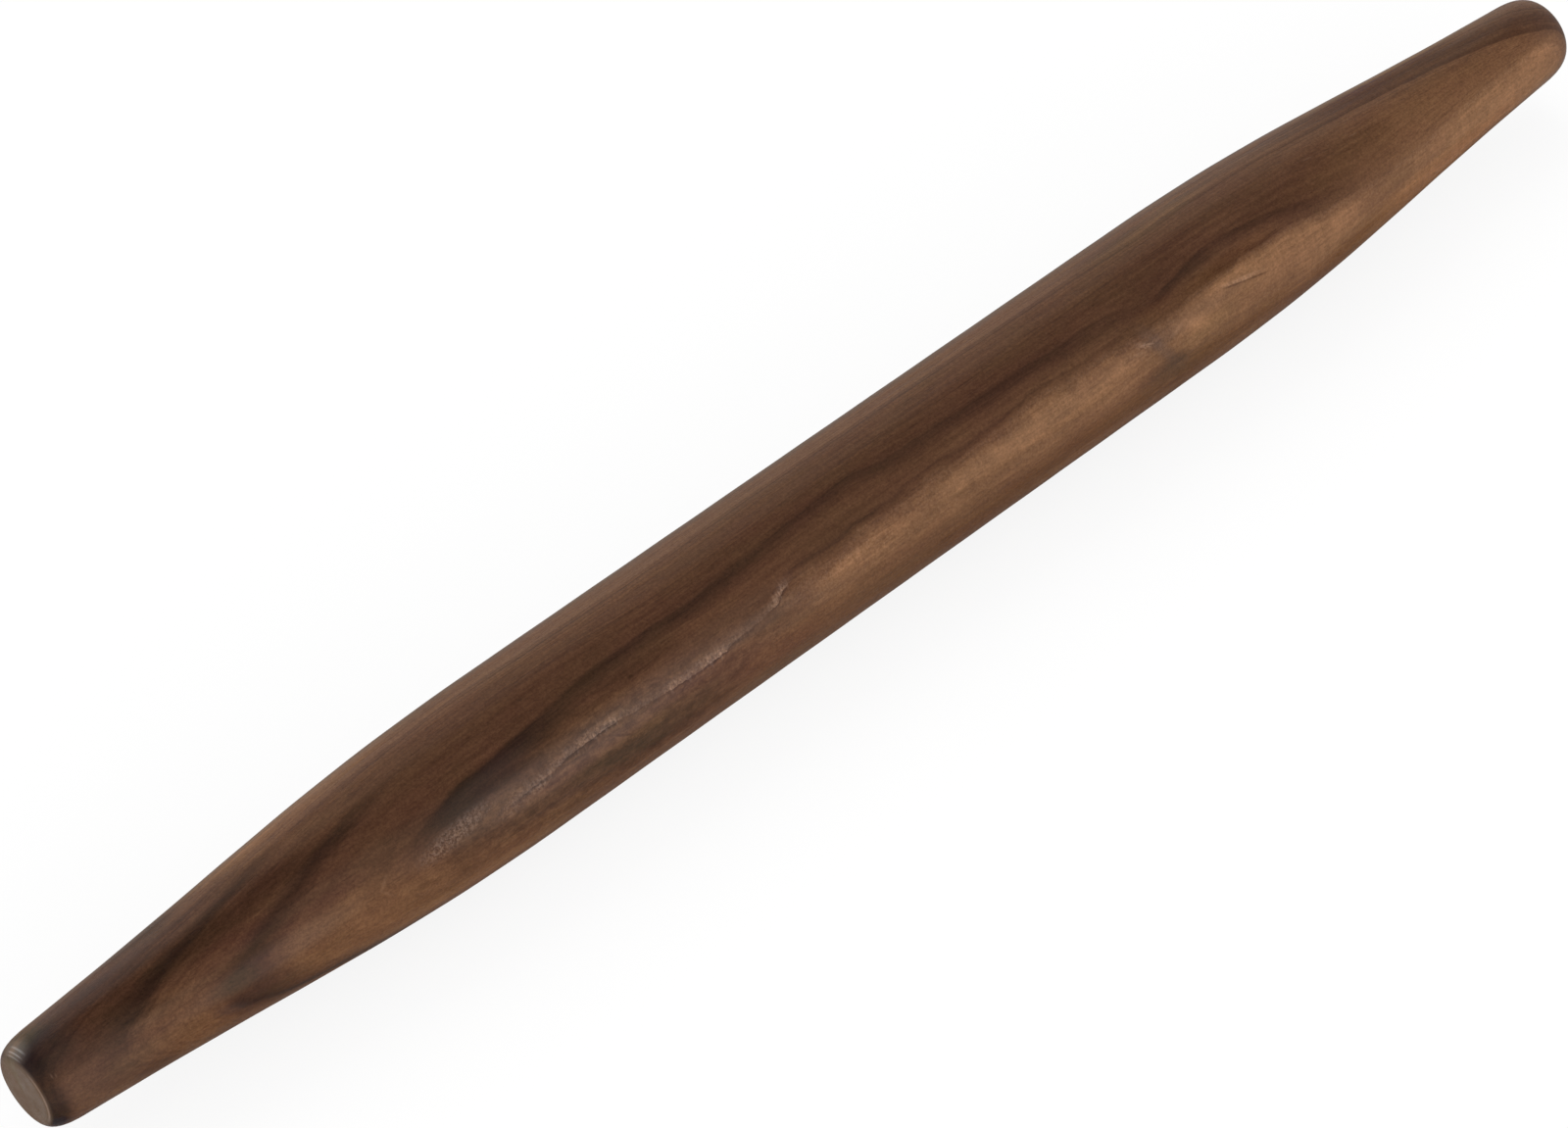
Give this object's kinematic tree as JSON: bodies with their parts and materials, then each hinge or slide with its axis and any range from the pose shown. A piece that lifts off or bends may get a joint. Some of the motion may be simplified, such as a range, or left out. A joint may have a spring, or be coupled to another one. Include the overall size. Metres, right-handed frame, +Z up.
{
  "type": "rolling pin",
  "caption": "Tapered one-piece rolling pin turned from dark walnut, with a straight middle, slim tapers to grip and rounded ends with small flat faces.",
  "frame": {"origin": "middle of the pin, on the axis it was turned about", "axes": "+X along the pin from one end to the other, +Z up and +Y away from the user as the pin lies on a table"},
  "size_m": [0.5, 0.0414, 0.0414],
  "materials": {
    "walnut": "satin oil"
  },
  "bodies": {
    "root": {"turned_pin": "walnut"}
  },
  "joints": []
}
